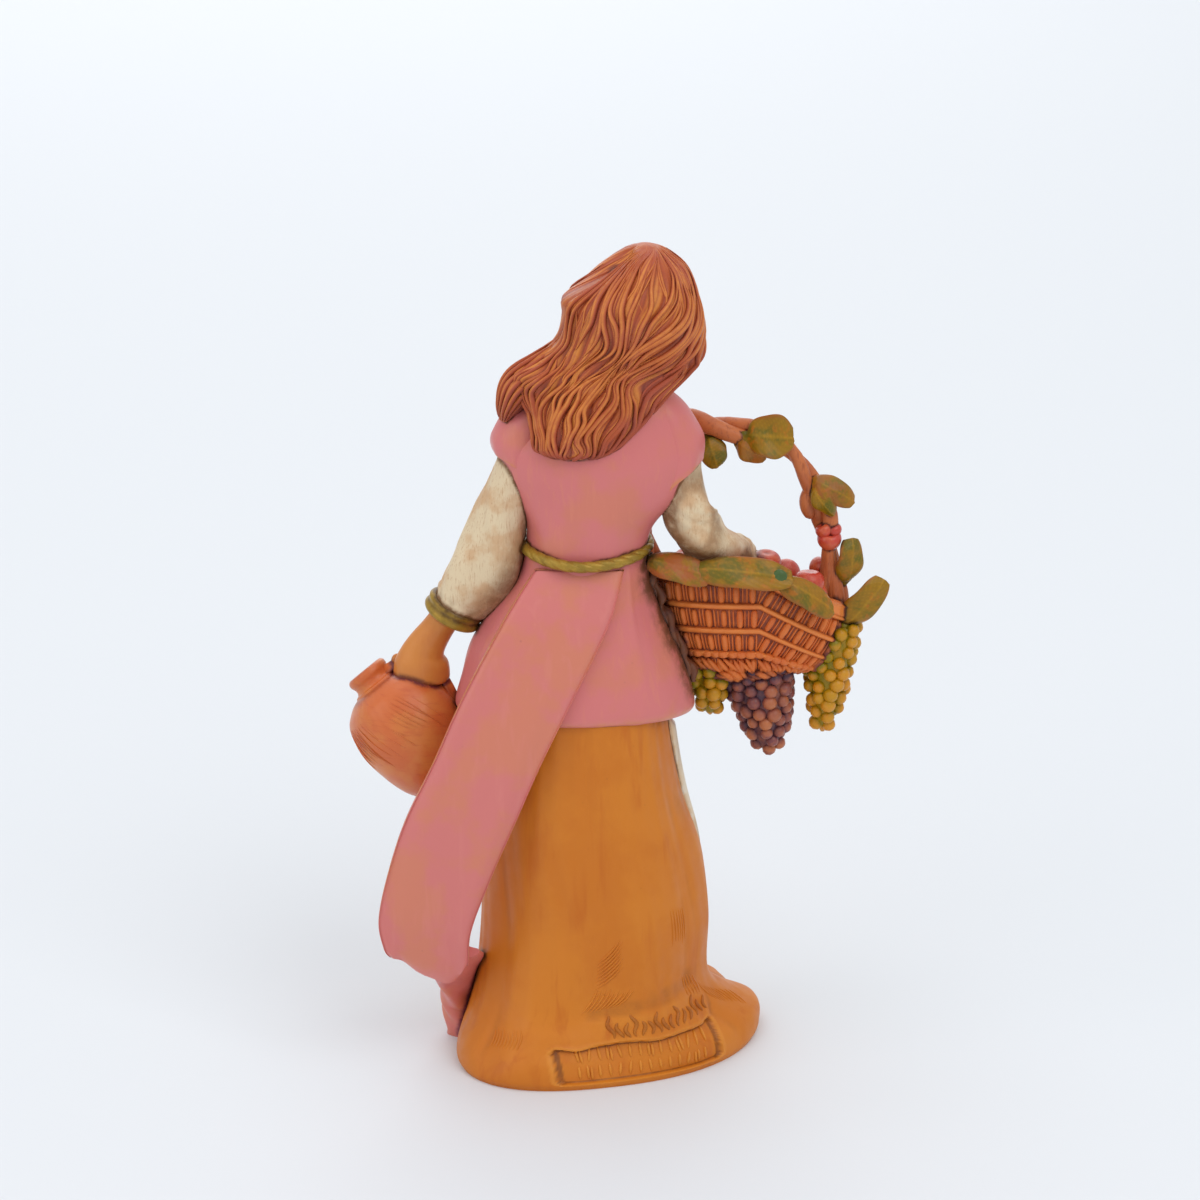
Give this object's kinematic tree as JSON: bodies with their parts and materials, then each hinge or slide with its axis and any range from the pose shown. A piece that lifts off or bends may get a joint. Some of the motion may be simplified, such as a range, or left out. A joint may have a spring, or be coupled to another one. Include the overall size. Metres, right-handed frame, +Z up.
{
  "type": "nativity scene figurine",
  "caption": "Hand-painted plastic presepe figure of a standing young woman holding a jug by its handle and carrying a wicker basket of fruit and grapes on her hip.",
  "frame": {"origin": "centre of the base's flat underside", "axes": "+Z up, -Y the way the woman faces, +X towards her left hand with the jug"},
  "size_m": [0.0787, 0.0403, 0.12],
  "materials": {
    "painted_figure": "moulded plastic, hand-painted and wiped with a brown wash, satin varnish",
    "painted_basket": "moulded plastic, hand-painted and wiped with a dark brown wash, satin varnish"
  },
  "bodies": {
    "root": {"figure": "painted_figure", "basket": "painted_basket"}
  },
  "joints": []
}
